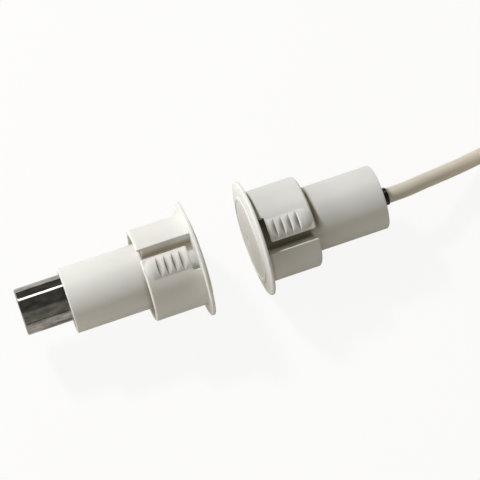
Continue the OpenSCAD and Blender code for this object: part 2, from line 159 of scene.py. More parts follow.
class ContactSizes(bpy.types.PropertyGroup):
    """Sizes of the small moulded details that only the visible housings have"""

    edge_radius: bpy.props.FloatProperty(
        name="Edge rounding", description="Rounding along the edges of the wings",
        default=0.00015, min=0.00005, max=0.0003, precision=5, unit="LENGTH")
    corner_radius: bpy.props.FloatProperty(
        name="Corner rounding", description="Rounding of the corners of the wings and tongues",
        default=0.00035, min=0.0001, max=0.0006, precision=5, unit="LENGTH")
    crest_softness: bpy.props.FloatProperty(
        name="Tooth softness", description="Width over which the crests of the teeth are rounded",
        default=0.00014, min=0.00001, max=0.0004, precision=5, unit="LENGTH")
    gate_radius: bpy.props.FloatProperty(
        name="Gate radius", description="Radius of the gate mark in the middle of the front",
        default=0.0012, min=0.0005, max=0.004, precision=5, unit="LENGTH")
    gate_depth: bpy.props.FloatProperty(
        name="Gate depth", description="Depth of the gate mark in the middle of the front",
        default=0.00012, min=0.00005, max=0.0005, precision=5, unit="LENGTH")


class ContactStage(bpy.types.PropertyGroup):
    """Camera, light and the surface that both units lie on"""

    azimuth: bpy.props.FloatProperty(
        name="Azimuth", description="Camera's angle round the object",
        default=math.radians(-20.06), subtype="ANGLE")
    elevation: bpy.props.FloatProperty(
        name="Elevation", description="Camera's angle above the surface",
        default=math.radians(67.19), subtype="ANGLE")
    distance: bpy.props.FloatProperty(
        name="Distance", description="Camera's distance from its target",
        default=0.4908, unit="LENGTH")
    lens: bpy.props.FloatProperty(
        name="Lens", description="Focal length on a 36 mm sensor",
        default=137.66, min=20, max=400, unit="CAMERA")
    key_power: bpy.props.FloatProperty(
        name="Key light", description="Power of the key lamp",
        default=2.55, min=0, unit="POWER")
    fill_power: bpy.props.FloatProperty(
        name="Left light", description="Power of the wide lamp on the left",
        default=3.4, min=0, unit="POWER")
    lamp_colour: bpy.props.FloatVectorProperty(
        name="Lamp colour", description="Colour of both lamps",
        default=(0.95, 0.96, 1), size=3, min=0, max=1, subtype="COLOR")
    floor_colour: bpy.props.FloatVectorProperty(
        name="Surface", description="Colour of the surface that both units lie on",
        default=(0.78, 0.74, 0.67), size=3, min=0, max=1, subtype="COLOR")
    surroundings: bpy.props.FloatProperty(
        name="Surroundings", description="Strength of the light from all round",
        default=0.29, min=0)


def in_mm(length):
    """A property's length in millimetres, without the noise past its last digits."""
    return round(length / MM, 4)


def connect(tree, node, inputs):
    """Sets a node's inputs: each is a value, or another node's output, which is linked."""
    for name, value in inputs.items():
        if isinstance(value, bpy.types.NodeSocket):
            tree.links.new(value, node.inputs[name])
        else:
            node.inputs[name].default_value = value


def add_node(tree, kind, inputs=None, **options):
    """A new shader node. Its options are set before its inputs, because they choose them."""
    node = tree.nodes.new("ShaderNode" + kind)
    for name, value in options.items():
        setattr(node, name, value)
    connect(tree, node, inputs or {})
    return node


def calculate(tree, operation, first, second):
    """The result of an operation of a Math node on two values."""
    return add_node(tree, "Math", {0: first, 1: second}, operation=operation).outputs[0]


def ramp(tree, value, span, result=(0, 1), shape="LINEAR"):
    """A value that goes from one result to the other as another value goes through a span."""
    return add_node(tree, "MapRange", {
        "Value": value, "From Min": span[0], "From Max": span[1],
        "To Min": result[0], "To Max": result[1],
    }, interpolation_type=shape).outputs["Result"]


def mixed(tree, share, first, second, **options):
    """One value turned into another by a share."""
    mix = add_node(tree, "Mix", {"Factor": share, "A": first, "B": second}, **options)
    return mix.outputs["Result"]


def object_place(tree):
    """The point's place on its object."""
    return add_node(tree, "TexCoord").outputs["Object"]


def principled(tree):
    """The tree's Principled shader."""
    return next(n for n in tree.nodes if n.type == "BSDF_PRINCIPLED")


def new_material(name):
    """A material with a Principled shader, and short ways to its tree and shader."""
    material = bpy.data.materials.new(name)
    material.use_nodes = True
    return material, material.node_tree, principled(material.node_tree)


def new_group(name, inputs, outputs):
    """A node group whose sockets are given as names with their kinds, and its two ends."""
    group = bpy.data.node_groups.new(name, "ShaderNodeTree")
    for in_out, sockets in (("INPUT", inputs), ("OUTPUT", outputs)):
        for label, kind in sockets.items():
            group.interface.new_socket(label, in_out=in_out, socket_type="NodeSocket" + kind)
    return group, group.nodes.new("NodeGroupInput").outputs, group.nodes.new("NodeGroupOutput")


def moulded_group():
    """Node group: moulded plastic's faint colour drift, satin variation and fine grain.

    With n a slow noise less a half, the colour is the base colour times one plus 2 n `Drift`,
    the roughness is the base roughness plus a fifth of n, and the height is a fine noise.
    """
    group = bpy.data.node_groups.get("Moulded plastic")
    if group:
        return group
    group, given, end = new_group(
        "Moulded plastic",
        {"Colour": "Color", "Drift": "Float", "Roughness": "Float", "Grain scale": "Float"},
        {"Colour": "Color", "Roughness": "Float", "Height": "Float"})
    place = object_place(group)
    slow = add_node(group, "TexNoise", {"Vector": place, "Scale": BLOTCH_SCALE, "Detail": 3})
    fine = add_node(group, "TexNoise", {
        "Vector": place, "Scale": given["Grain scale"], "Detail": 4})
    centred = calculate(group, "SUBTRACT", slow.outputs["Fac"], 0.5)
    drift = calculate(group, "MULTIPLY", centred, given["Drift"])
    gain = calculate(group, "ADD", calculate(group, "MULTIPLY", drift, 2.0), 1.0)
    tinted = add_node(group, "VectorMath", {0: given["Colour"], "Scale": gain}, operation="SCALE")
    swing = calculate(group, "MULTIPLY", centred, ROUGHNESS_SWING)
    connect(group, end, {
        "Colour": tinted.outputs[0],
        "Roughness": calculate(group, "ADD", given["Roughness"], swing),
        "Height": fine.outputs["Fac"],
    })
    return group


def painted_shade_group():
    """Node group: how much painted shade a point of a unit gets, 0 to 1, from its object place,
    and where its front gets painted light.

    Under the wings the painted shade rises from 0 just inside them to 1 near the neck. It goes
    on past their end as painted shade on the barrel and fades out `Reach` further along it, on
    the half that faces `Side`, the half on which that shade falls. `Open` is how much of it is
    left out in the notch on that half.
    The flange shadow input is the share of a painted shadow of the flange, in the narrow line
    where the wings meet it, less away from `Side`. The second output is 1 on the flange's front,
    where painted light is added, and 0 behind its seat face. `Seat` is the seat face's X in
    millimetres, and `Direction` is 1 or -1, the way along X in which the barrel lies.
    """
    group = bpy.data.node_groups.get("Painted crevice shade")
    if group:
        return group
    group, given, end = new_group(
        "Painted crevice shade",
        {"Seat": "Float", "Direction": "Float", "Reach": "Float", "Seam": "Float",
         "Open": "Float", "Side": "Vector"},
        {"Mask": "Float", "Front": "Float"})

    def times(first, second):
        return calculate(group, "MULTIPLY", first, second)

    def larger(first, second):
        return calculate(group, "MAXIMUM", first, second)

    def smooth(value, span):
        return ramp(group, value, span, shape="SMOOTHSTEP")

    def vector_math(operation, inputs, output):
        return add_node(group, "VectorMath", inputs, operation=operation).outputs[output]

    place = object_place(group)
    across = vector_math("MULTIPLY", {0: place, 1: (0, 1 / MM, 1 / MM)}, "Vector")
    radius = vector_math("LENGTH", {0: across}, "Value")
    outward = vector_math("NORMALIZE", {0: across}, "Vector")
    facing = vector_math("DOT_PRODUCT", {0: outward, 1: given["Side"]}, "Value")
    along = times(add_node(group, "SeparateXYZ", {0: place}).outputs["X"], 1 / MM)
    depth = times(calculate(group, "SUBTRACT", along, given["Seat"]), given["Direction"])
    shaded = smooth(facing, SHADE_FACING)
    # Painted shade on the barrel past the wings' end, on the half that faces Side
    far = calculate(group, "ADD", given["Reach"], COLLAR_LEN)
    past = times(smooth(depth, (far, calculate(group, "SUBTRACT", far, REACH_FADE))), shaded)
    under = times(smooth(radius, SHADE_UNDER), larger(smooth(depth, SHADE_WITHIN), past))
    notch = times(smooth(depth, NOTCH_DEPTH), smooth(facing, NOTCH_FACING))
    notch = times(notch, given["Open"])
    under = times(under, calculate(group, "SUBTRACT", 1.0, notch))
    # Painted shadow of the flange, in a narrow line on the wings at its foot
    flange_shadow = times(smooth(depth, FLANGE_SHADOW_DEPTH), smooth(radius, FLANGE_SHADOW_RADIUS))
    flange_shadow = times(times(flange_shadow, given["Seam"]), larger(shaded, FLANGE_SHADOW_AWAY))
    connect(group, end, {
        "Mask": times(smooth(depth, SHADE_BEHIND), larger(under, flange_shadow)),
        "Front": smooth(depth, FRONT_DEPTH),
    })
    return group


def paint_light_and_shade(material, inputs, deep, slow, steep):
    """Multiplies the base colour of a housing by `deep`, painted shade, in its crevices, on the
    barrel past its wings and in a line of painted flange shadow. It multiplies it by `slow` and
    `steep`, painted shade or painted highlight, on the two sides of the grooves between its
    teeth, and adds painted light on the front."""
    tree = material.node_tree
    shader = principled(tree)
    colour = shader.inputs["Base Color"].links[0].from_socket
    mask = add_node(tree, "Group", inputs, node_tree=painted_shade_group())
    groove = add_node(tree, "Attribute", attribute_name="groove").outputs["Fac"]
    for share, shade in (
        (mask.outputs["Mask"], deep), (ramp(tree, groove, (0, 1)), slow),
        (ramp(tree, groove, (0, -1)), steep), (mask.outputs["Front"], FRONT_PAINTED_LIGHT),
    ):
        colour = mixed(tree, share, colour, (*shade, 1), data_type="RGBA", blend_type="MULTIPLY")
    connect(tree, shader, {"Base Color": colour})


def moulded(name, colour, roughness=0.42, grain=2500, bump=0.02, scatter=0):
    """Moulded plastic or jacket: the shared group feeds colour, roughness and a fine bump."""
    material, tree, shader = new_material(name)
    plastic = add_node(tree, "Group", {
        "Colour": (*colour, 1), "Drift": COLOUR_DRIFT, "Roughness": roughness,
        "Grain scale": grain,
    }, node_tree=moulded_group())
    raised = add_node(tree, "Bump", {
        "Strength": bump, "Distance": BUMP_DEPTH, "Height": plastic.outputs["Height"]})
    connect(tree, shader, {
        "Base Color": plastic.outputs["Colour"], "Roughness": plastic.outputs["Roughness"],
        "Normal": raised.outputs["Normal"], "IOR": 1.49,
    })
    if scatter:
        connect(tree, shader, {
            "Subsurface Weight": scatter, "Subsurface Scale": 1,
            "Subsurface Radius": (0.0012, 0.0010, 0.0008),
        })
    return material


def woven(name, colour):
    """Woven strap: two crossing waves, about a thread wide, lift the threads and darken the
    gaps between them with painted shade."""
    material, tree, shader = new_material(name)
    place = object_place(tree)
    first, second = (
        add_node(tree, "TexWave", {
            "Vector": place, "Scale": TAU / THREAD / WAVE_RATE, "Distortion": 0.4,
        }, bands_direction=axis).outputs["Fac"]
        for axis in ("X", "DIAGONAL"))
    weave = calculate(tree, "MULTIPLY", first, second)
    raised = add_node(tree, "Bump", {"Strength": 0.5, "Distance": BUMP_DEPTH, "Height": weave})
    # The gaps' darker colour is painted shade between the threads
    gap, thread = ((*(c * share for c in colour), 1) for share in (0.5, 1.8))
    connect(tree, shader, {
        "Base Color": mixed(tree, weave, gap, thread, data_type="RGBA"),
        "Normal": raised.outputs["Normal"], "Roughness": 0.75, "Sheen Weight": 0.3,
    })
    return material


def ground_end(tree, place, clouds, end):
    """Shade share of a rod whose end, at the point `end` in millimetres, is ground flat:
    there the clouds give way to faint turning rings, a sine of the distance to the axis."""
    x, y, z = end
    along = add_node(tree, "SeparateXYZ", {"Vector": place}).outputs["X"]
    near = ramp(tree, along, [(x + gap) * MM for gap in END_SPAN])
    centred = add_node(tree, "Mapping", {"Vector": place, "Location": (0, -y * MM, -z * MM)})
    rings = add_node(tree, "TexWave", {
        "Vector": centred.outputs["Vector"], "Scale": RING_SCALE,
    }, wave_type="RINGS", rings_direction="X")
    return mixed(tree, near, clouds, ramp(tree, rings.outputs["Fac"], (0, 1), RING_SHARES))


def bright_metal(name, colour, roughness, streaks=0.06, tone=0.2, end=None):
    """Bright metal: fine streaks along X in the roughness, and soft clouds in the colour, with
    turning rings at `end`, where it is given."""
    material, tree, shader = new_material(name)
    place = object_place(tree)

    def stretched(scale, detail):
        mapping = add_node(tree, "Mapping", {"Vector": place, "Scale": scale})
        return add_node(tree, "TexNoise", {
            "Vector": mapping.outputs["Vector"], "Scale": 1, "Detail": detail}).outputs["Fac"]

    share = ramp(tree, stretched(CLOUD_SCALE, 4), CLOUD_SPAN)
    if end:
        share = ground_end(tree, place, share, end)
    dark = (*(c * (1 - tone) for c in colour), 1)
    connect(tree, shader, {
        "Metallic": 1,
        "Roughness": ramp(tree, stretched(STREAK_SCALE, 3), (0, 1),
                          (roughness - streaks, roughness + streaks)),
        "Base Color": mixed(tree, share, (*colour, 1), dark, data_type="RGBA"),
    })
    return material


def paint(obj, material):
    """The piece's only material."""
    obj.data.materials.clear()
    obj.data.materials.append(material)


def paint_nodes(material, *names):
    """The only material of some CAD nodes."""
    for name in names:
        paint(NODES[name], material)


def rounded(corners, steps=4):
    """A profile through corner points given as (x, y, radius): straight between the corners,
    and at each corner an arc of its radius that touches both sides."""
    spots = np.array([c[:2] for c in corners], float)
    parts = [spots[:1]]
    for before, spot, after, (_, _, radius) in zip(spots, spots[1:], spots[2:], corners[1:-1]):
        if not radius:
            parts.append(spot[None])
            continue
        a = (before - spot) / np.linalg.norm(before - spot)
        b = (after - spot) / np.linalg.norm(after - spot)
        half = math.acos(float(a @ b)) / 2
        centre = spot + (a + b) / np.linalg.norm(a + b) * radius / math.sin(half)
        first = spot + a * radius / math.tan(half) - centre
        last = spot + b * radius / math.tan(half) - centre
        start = math.atan2(first[1], first[0])
        sweep = (math.atan2(last[1], last[0]) - start + math.pi) % TAU - math.pi
        turn = start + sweep * np.linspace(0, 1, steps + 1)
        parts.append(centre + radius * np.stack([np.cos(turn), np.sin(turn)], 1))
    parts.append(spots[-1:])
    return np.vstack(parts)


def shell(grid, wrap_rows=False, wrap_columns=False):
    """Points and triangles of a closed surface from a grid of points (rows, columns, 3).
    Points that coincide are merged, faces that lose a corner go, and a surface whose signed
    volume (the sum of a . (b x c) / 6) is negative is turned the right way out."""
    index = np.arange(grid.shape[0] * grid.shape[1]).reshape(grid.shape[:2])
    if wrap_rows:
        index = np.vstack([index, index[:1]])
    if wrap_columns:
        index = np.hstack([index, index[:, :1]])
    a, b, c, d = index[:-1, :-1], index[1:, :-1], index[1:, 1:], index[:-1, 1:]
    faces = np.stack([a, b, c, a, c, d], -1).reshape(-1, 3)
    points = grid.reshape(-1, 3)
    _, first, merged = np.unique(
        np.round(points / MERGE).astype(np.int64), axis=0, return_index=True, return_inverse=True)
    points, faces = points[first], merged.reshape(-1)[faces]
    a, b, c = faces.T
    faces = faces[(a != b) & (b != c) & (c != a)]
    a, b, c = (points[faces[:, i]] for i in range(3))
    if (a * np.cross(b, c)).sum() < 0:
        faces = faces[:, ::-1]
    return points, faces


def round_axis(radius, depth, turn):
    """Points at a radius and a turn from the depth axis: (r cos t, r sin t, depth)."""
    return np.stack([radius * np.cos(turn), radius * np.sin(turn), depth + 0 * turn], -1)


def revolved(profile):
    """A profile of (radius, depth) points turned about the depth axis."""
    turn = TAU * np.arange(AROUND) / AROUND
    return shell(round_axis(profile[:, 0, None], profile[:, 1, None], turn), wrap_columns=True)


def add_piece(name, body, shells, material, node):
    """One object from shells in millimetres. It rides on its body and stands for a CAD node."""
    base, points, faces = 0, [], []
    for spots, corners in shells:
        points.append(spots)
        faces.append(corners + base)
        base += len(spots)
    mesh = bpy.data.meshes.new(name)
    mesh.from_pydata(np.vstack(points) * MM, [], np.vstack(faces))
    mesh.update()
    mesh.shade_smooth()
    mesh.set_sharp_from_angle(angle=math.radians(CRISP))
    obj = bpy.data.objects.new(name, mesh)
    bpy.context.scene.collection.objects.link(obj)
    paint(obj, material)
    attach(obj, body)
    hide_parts(node)
    return obj


def dome(radius):
    """Depth of the flange's domed front, a parabola in the radius r:
    -(RIM_T + CROWN (1 - (r / FLANGE_R)^2))."""
    return -(RIM_T + CROWN * (1 - (radius / FLANGE_R) ** 2))


def dome_run(start, end):
    """Sharp corners (radius, depth, 0) along the dome's parabola from one radius to another."""
    radius = np.linspace(start, end, DOME_POINTS)
    return [(r, z, 0) for r, z in zip(radius, dome(radius))]


def body_profile(sizes):
    """Half section of flange, barrel and blind bore, through corners given as (radius, depth
    behind the seat face, rounding)."""
    gate_r, gate_depth = in_mm(sizes.gate_radius), in_mm(sizes.gate_depth)
    gate = [(0, dome(0) + gate_depth, 0), (gate_r, dome(gate_r) + gate_depth, 0.08)]
    ring = [(RING_IN, dome(RING_IN) - RING_H, 0.12), (RING_OUT, dome(RING_OUT) - RING_H, 0.12)]
    front = [
        *gate, *dome_run(gate_r + 0.1, RING_IN - RING_FOOT),
        *ring, *dome_run(RING_OUT + RING_FOOT, FLANGE_R - RIM_FOOT),
    ]
    back = [
        (FLANGE_R - 0.02, dome(FLANGE_R - RIM_LEVEL), 0.3), (FLANGE_R, -0.4, 0),
        (FLANGE_R, 0, 0.15), (NECK_R, 0, 0.12),
        (NECK_R, NECK_END, 0.1), (BARREL_R, NECK_END + BARREL_R - NECK_R, 0.15),
        (BARREL_R, BARREL_LEN - MOUTH_CHAMFER, 0.08), (BARREL_R - MOUTH_CHAMFER, BARREL_LEN, 0.08),
        (BORE_R + FLARE, BARREL_LEN, 0.05), (BORE_R, BARREL_LEN - FLARE, 0.1), (BORE_R, 0, 0),
        (0, 0, 0),
    ]
    return rounded(front + back)


def soft_max(a, b, size):
    """The larger of two heights, with the crease between them rounded over `size`:
    b + (a - b) s + size s (1 - s), where s is 1/2 + (a - b) / (2 size), kept from 0 to 1."""
    share = np.clip(0.5 + 0.5 * (a - b) / size, 0, 1)
    return b * (1 - share) + a * share + size * share * (1 - share)


def back_height(angle, depth):
    """Radius of the uncut back of the teeth: a cylinder of radius PAD_R round a line at C,
    PAD_CENTRE, that ends in a ball. At angle a from its middle that is
    C cos(a) + sqrt(b*b - (C sin(a))^2), where b is PAD_R, and sqrt(PAD_R^2 - t^2) at t past
    the ball's centre."""
    past = np.clip(depth - NOSE_Z, 0, None)
    ball = np.clip(PAD_R**2 - past**2, 0, None)
    room = ball - (PAD_CENTRE * np.sin(angle)) ** 2
    return np.where(room > 0, PAD_CENTRE * np.cos(angle) + np.sqrt(np.clip(room, 0, None)), 0)


def tooth_place(depth):
    """A depth counted in teeth from the notch, and the nearest valley between two teeth."""
    place = (depth - NOTCH_LEN) / TOOTH_PITCH
    return place, np.clip(np.round(place), 1, TOOTH_COUNT - 1)


def tooth_height(angle, depth, softness):
    """Radius of the wing's outer face: the lower of the back of the teeth and a saw profile,
    and never less than COLLAR_R. The saw climbs from each valley to the crest in a straight
    line, over TOOTH_RAMP towards the flange and over TOOTH_STEEP towards the end."""
    place, nearest = tooth_place(depth)
    off = (place - nearest) * TOOTH_PITCH
    rise = np.where(off < 0, -off / TOOTH_RAMP, off / TOOTH_STEEP)
    crest = PAD_CENTRE + PAD_R
    valley = COLLAR_R + VALLEY_RISE
    saw = valley + (crest - valley) * rise
    cut = -soft_max(-back_height(angle, depth), -saw, softness)
    return soft_max(cut, COLLAR_R + 0 * cut, ROOT_SOFT)


def groove_share(part, clock):
    """How deep each point of a wing's outer face lies in a groove between two teeth, which sets
    the painted shade and painted highlight on the teeth: 0 on the uncut back, 1 at GROOVE_FULL
    under it, and the root of that share, less than 0, on the steep faces."""
    x, y, depth = part[0].T
    radius = np.hypot(x, y)
    turn = np.degrees(np.arctan2(y, x)) - clock - 180 + PAD_ANGLE
    from_middle = np.radians((turn + 180) % 360 - 180)
    share = np.clip((back_height(from_middle, depth) - radius) / GROOVE_FULL, 0, 1)
    place, nearest = tooth_place(depth)
    outside = (radius > COLLAR_R - 0.1) & (np.abs(from_middle) < PAD_WITHIN) & (place > 0.05)
    return np.where(outside, np.where(place < nearest + 0.02, share, -np.sqrt(share)), 0)


def wing_columns(round_edge, round_corner):
    """Columns across a wing, from its web side to its free edge: the angle in degrees, how far
    the section is drawn in to round the end, the depths of its top and its bottom, and whether
    the web is on it. A rounding of radius r takes r - sqrt(r*r - (r-x)^2) at a distance x from
    the end, from the section's thickness and, at the corners, from its top and bottom."""
    edge = np.array([0, 0, 0.006, 0.022, 0.05, 0.09, 0.15, 0.25, 0.35, 0.6])
    inset = round_edge - np.sqrt(round_edge**2 - np.clip(round_edge - edge, 0, None) ** 2)
    inset[0] += END_DRAW
    corner = round_corner - np.sqrt(round_corner**2 - np.clip(round_corner - edge, 0, None) ** 2)
    degree = math.degrees(1 / COLLAR_R)
    web_stop = SLOT_ANGLE + WEB_ANGLE
    tongue = 180 - NOTCH_ANGLE
    on_web = np.linspace(SLOT_ANGLE + 5, web_stop, 6)
    middle = np.concatenate([
        on_web, np.linspace(web_stop, tongue - 0.1, 46),
        tongue + degree * np.array([0, 0.02, 0.07, 0.15, 0.25, 0.35, 0.6]),
        np.linspace(tongue + 3.8, 176, 64),
    ])
    angle = np.concatenate([SLOT_ANGLE + edge * degree, middle, 180 - edge[::-1] * degree])
    none = np.zeros(len(middle))
    inset = np.concatenate([inset, none, inset[::-1]])
    corner = np.concatenate([corner, none, corner[::-1]])
    past = np.clip((angle - tongue) / degree, 0, round_corner)
    notch = NOTCH_LEN - round_corner + np.sqrt(round_corner**2 - (round_corner - past) ** 2)
    low = np.where(angle < tongue - 0.01, -SINK, notch + corner)
    web = np.arange(len(angle)) < len(edge) + len(on_web)
    return angle, inset, COLLAR_LEN - corner, low, web


def wing_shell(clock, sizes):
    """One spring wing as a section in (radius, depth) carried round the axis. Its outer face
    is the toothed surface, its leading edge a chamfer with rounded corners, and its inner face
    steps down to the barrel where the web is. A fan of faces closes each end."""
    edge = in_mm(sizes.edge_radius)
    angle, inset, top, low, web = wing_columns(edge, in_mm(sizes.corner_radius))
    # The rows of the outer face lie closest at its foot, where it swells
    near = np.array([0, 0.0008, 0.003, 0.0065, 0.012])
    share = np.concatenate([near, np.linspace(0.019, 1, 148)])[:, None]
    foot_z, lead_z = low + inset + edge, top - inset - LEAD - LEAD_ROUND
    outer_z = foot_z + (lead_z - foot_z) * share
    from_middle = np.radians(angle - (180 - PAD_ANGLE))
    start = np.clip((outer_z - foot_z) / FOOT_SWELL, 0, 1)
    swell = np.sqrt(1 - (1 - start) ** 2)
    face = tooth_height(from_middle, outer_z, in_mm(sizes.crest_softness))
    outer_r = COLLAR_R - inset + swell * (face - COLLAR_R)
    lead = rounded([
        (0, -0.1, 0), (0, 0, LEAD_ROUND), (-LEAD, LEAD, LEAD_ROUND), (-LEAD - 0.1, LEAD, 0),
    ], 3)[1:-1]
    mouth_r = COLLAR_R - inset + lead[:, :1]
    mouth_z = top - inset - LEAD + lead[:, 1:]
    turn = np.radians(np.linspace(0, 90, 4))[:, None]
    lip_r = WING_IN_R + inset + edge * (1 - np.sin(turn))
    lip_z = top - inset - edge * (1 - np.cos(turn))
    inner = WING_IN_R + inset
    foot = np.where(web, NECK_R - SINK, inner)
    level = 0 * angle + WEB_END
    back_r = np.stack([inner, inner, foot, foot])
    back_z = np.stack([level + WEB_ROW, level, level, (low + level) / 2])
    heel_r = foot + edge * (1 - np.cos(turn))
    heel_z = low + inset + edge * (1 - np.sin(turn))
    toe_r = COLLAR_R - inset - edge * (1 - np.sin(turn))
    toe_z = low + inset + edge * (1 - np.cos(turn))
    radius = np.vstack([outer_r, mouth_r, lip_r, back_r, heel_r, toe_r])
    depth = np.vstack([outer_z, mouth_z, lip_z, back_z, heel_z, toe_z])
    tip_r = np.full((len(radius), 1), (COLLAR_R + WING_IN_R) / 2)
    tip_z = np.full((len(radius), 1), COLLAR_LEN / 2)
    turn = np.radians(np.concatenate([angle[:1], angle, angle[-1:]]) + clock)
    grid = round_axis(np.hstack([tip_r, radius, tip_r]), np.hstack([tip_z, depth, tip_z]), turn)
    return shell(grid, wrap_rows=True)


def in_switch_unit(part):
    """Depth behind the seat face becomes +X."""
    points, faces = part
    return np.stack([points[:, 2], points[:, 1], -points[:, 0]], 1), faces


def in_magnet_unit(part):
    """Depth behind the seat face becomes -X, from that unit's own seat."""
    points, faces = part
    return np.stack([MAGNET_SEAT_X - points[:, 2], points[:, 1], points[:, 0]], 1), faces


def add_housing(name, body, node, clock, place, material, sizes):
    """Flange and barrel with both wings. The attribute groove holds how deep each point lies
    between the teeth, which sets the painted shade and painted highlight on the teeth."""
    core = revolved(body_profile(sizes))
    wings = [(wing_shell(turn, sizes), turn) for turn in (clock, clock + 180)]
    shares = [np.zeros(len(core[0]))] + [groove_share(part, turn) for part, turn in wings]
    parts = [place(core)] + [place(part) for part, _ in wings]
    piece = add_piece(name, body, parts, material, node)
    groove = piece.data.attributes.new("groove", "FLOAT", "POINT")
    groove.data.foreach_set("value", np.concatenate(shares))


def through_points(points):
    """The cubic through each four neighbouring points, CURVE_STEPS points to a stretch: half of
    2b + (c-a)t + (2a-5b+4c-d)t^2 + (3b-a-3c+d)t^3."""
    p = np.asarray(points, float)
    p = np.vstack([2 * p[0] - p[1], p, 2 * p[-1] - p[-2]])
    t = (np.arange(CURVE_STEPS) / CURVE_STEPS)[None, :, None]
    a, b, c, d = (p[i : len(p) - 3 + i][:, None, :] for i in range(4))
    q = 0.5 * (2 * b + (c - a) * t + (2 * a - 5 * b + 4 * c - d) * t**2
               + (3 * b - a - 3 * c + d) * t**3)
    return np.vstack([q.reshape(-1, 3), p[-2]])


def hank_turns():
    """Centre line of the folded cable, eleven long turns. A turn is a straight towards +X, a
    half circle, a straight back and a half circle, each for a quarter of the turn's count.
    The turns stack up in the outer column and down again in the inner one. A step to the next
    layer or column is s*s*(3-2s) of it, and lasts a fifth of a turn: up on the near half
    circle, across on the straight back, down on the far half circle, so no two turns meet."""
    places = [(0, k) for k in range(HANK_LAYERS)] + [(1, k) for k in reversed(range(HANK_LAYERS))]
    count = len(places) - 1
    turn = np.linspace(0, count, count * TURN_POINTS + 1)
    column = np.full(len(turn), float(places[0][0]))
    layer = np.full(len(turn), float(places[0][1]))
    for k in range(count):
        begins = STEP_UP if k < HANK_LAYERS - 1 else STEP_ACROSS if k < HANK_LAYERS else STEP_DOWN
        s = np.clip((turn - k - begins) / STEP_LASTS, 0, 1)
        s = s * s * (3 - 2 * s)
        column += (places[k + 1][0] - places[k][0]) * s
        layer += (places[k + 1][1] - places[k][1]) * s
    radius = HANK_RADII[0] + (HANK_RADII[1] - HANK_RADII[0]) * column
    quarter = (turn % 1) * 4
    angle = math.pi * (0.5 - np.clip(quarter - 1, 0, 1) - np.clip(quarter - 3, 0, 1))
    along = HANK_STRAIGHT * (np.clip(quarter, 0, 1) - np.clip(quarter - 2, 0, 1))
    return np.stack([
        HANK_AT[0] + along + radius * np.cos(angle),
        HANK_AT[1] + radius * np.sin(angle),
        HANK_AT[2] + CABLE_D * (layer + 0.5),
    ], 1)


def cable_line():
    """The whole cable's centre line in millimetres: run, hank and tail, joined end to end."""
    run = np.array([(EXIT[0] + x, EXIT[1] + y, EXIT[2] - FALL * s) for x, y, s in RUN_POINTS])
    turns = hank_turns()
    meets = turns[:1] - (RUN_MEETS, 0, 0)
    tail = np.array([(HANK_AT[0] + x, HANK_AT[1] + y, turns[0, 2]) for x, y in TAIL_POINTS])
    head = through_points(np.vstack([run, meets, meets + (RUN_MEETS / 2, 0, 0), turns[:1]]))
    end = through_points(np.vstack([turns[-2:], tail]))
    return np.vstack([head[:-1], turns[:-1], end[CURVE_STEPS:]])


def aimed(scene, name, data, target, towards, distance):
    """A camera or lamp that looks at the target from a direction and a distance."""
    holder = bpy.data.objects.new(name, data)
    holder.location = target + towards * distance
    holder.rotation_mode = "QUATERNION"
    holder.rotation_quaternion = (-towards).to_track_quat("-Z", "Y")
    scene.collection.objects.link(holder)
    return holder


def add_camera(scene, stage, target):
    """The camera, at its azimuth and elevation."""
    az, el = stage.azimuth, stage.elevation
    back = Vector((math.sin(az) * math.cos(el), -math.cos(az) * math.cos(el), math.sin(el)))
    data = bpy.data.cameras.new("Camera")
    data.lens = stage.lens
    data.sensor_width = 36
    data.clip_start, data.clip_end = 0.01, 10
    scene.camera = aimed(scene, "Camera", data, target, back, stage.distance)


def add_lamp(scene, name, target, place, power, colour):
    """A square area lamp that no mirror shows. Its place is direction, distance and width."""
    direction, distance, width = place
    light = bpy.data.lights.new(name, "AREA")
    light.shape = "SQUARE"
    light.size = width
    light.energy = power
    light.color = colour
    lamp = aimed(scene, name, light, target, Vector(direction).normalized(), distance)
    lamp.visible_glossy = False


def mirrored_room(tree):
    """What mirrors see round the object: a dim ceiling, a lighter wall on the near side down
    to a dark strip at the floor, and a narrow light strip on the far side. Each light is the
    product of its bands."""
    place = add_node(tree, "TexCoord").outputs["Generated"]
    split = add_node(tree, "SeparateXYZ", {"Vector": place})

    def light(bands):
        product, *others = (ramp(tree, split.outputs[axis], span, (0, strength))
                            for axis, span, strength in bands)
        for other in others:
            product = calculate(tree, "MULTIPLY", product, other)
        return product

    lights = calculate(tree, "ADD", light(WALL), light(STRIP))
    return calculate(tree, "ADD", lights, CEILING)


def add_world(scene, surroundings):
    """White to the camera and through glass, and warm to all other rays: mirrors see the room,
    and the rest an even light."""
    world = bpy.data.worlds.new("World")
    scene.world = world
    world.use_nodes = True
    tree = world.node_tree
    path = add_node(tree, "LightPath").outputs
    seen = calculate(tree, "MAXIMUM", path["Is Camera Ray"], path["Is Transmission Ray"])
    unseen = mixed(tree, path["Is Glossy Ray"], surroundings, mirrored_room(tree))
    connect(tree, tree.nodes["Background"], {
        "Strength": mixed(tree, seen, unseen, 1),
        "Color": mixed(tree, seen, WARM, WHITE, data_type="RGBA"),
    })


